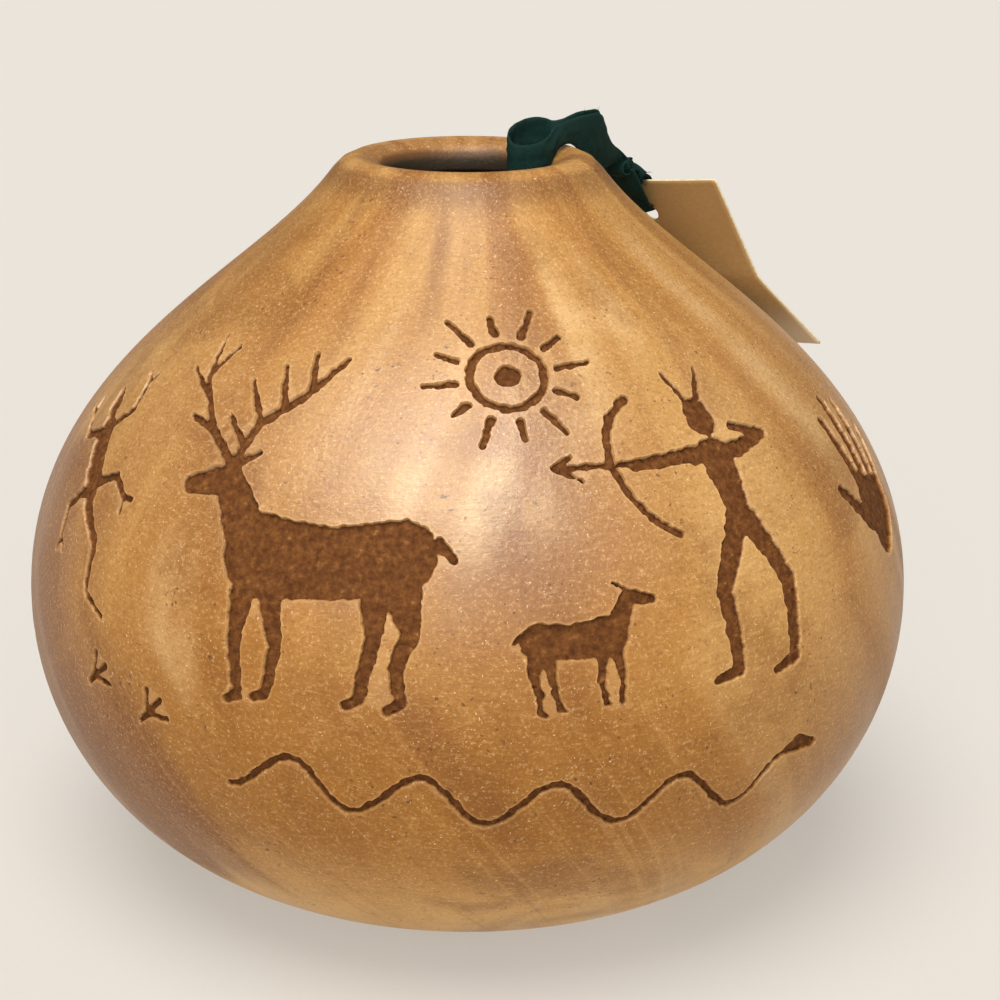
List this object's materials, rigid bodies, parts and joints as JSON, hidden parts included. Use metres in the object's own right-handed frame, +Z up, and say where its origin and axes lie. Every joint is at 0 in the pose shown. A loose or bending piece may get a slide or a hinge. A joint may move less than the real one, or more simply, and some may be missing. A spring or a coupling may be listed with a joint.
{
  "type": "engraved pottery vase",
  "caption": "Squat round pottery vase with a narrow mouth and engraved walls, a ribbon looped over its lip and a folded hang tag.",
  "frame": {"origin": "centre of the foot, on the surface that the vase stands on", "axes": "+Z up along the vase's axis; -Y towards the viewer of the picture; the tag hangs at +X +Y"},
  "size_m": [0.19, 0.19, 0.1614],
  "materials": {
    "burnished_clay": "burnished satin, streaked tan and brown",
    "ribbon_cloth": "woven, matt",
    "kraft_card": "matt brown card"
  },
  "bodies": {
    "vase": {"vase_body": "burnished_clay"},
    "ribbon": {"ribbon_loop": "ribbon_cloth", "ribbon_knot": "ribbon_cloth", "ribbon_tail": "ribbon_cloth"},
    "tag": {"tag_upper_leaf": "kraft_card", "ribbon_tie": "ribbon_cloth"},
    "tag_flap": {"tag_lower_leaf": "kraft_card"}
  },
  "joints": [
    {"name": "ribbon_lift", "type": "slide", "parent": "vase", "child": "ribbon", "axis": [0, 0, 1], "range_m": [0, 0.06]},
    {"name": "tag_swing", "type": "hinge", "parent": "ribbon", "child": "tag", "pos_m": [0.03404, 0.03315, 0.14571], "axis": [0.7066, -0.6973, 0.1205], "range_deg": [0, 70]},
    {"name": "tag_fold", "type": "hinge", "parent": "tag", "child": "tag_flap", "pos_m": [0.05002, 0.04473, 0.11906], "axis": [0.7066, -0.6973, 0.1205], "range_deg": [0, 140]}
  ]
}
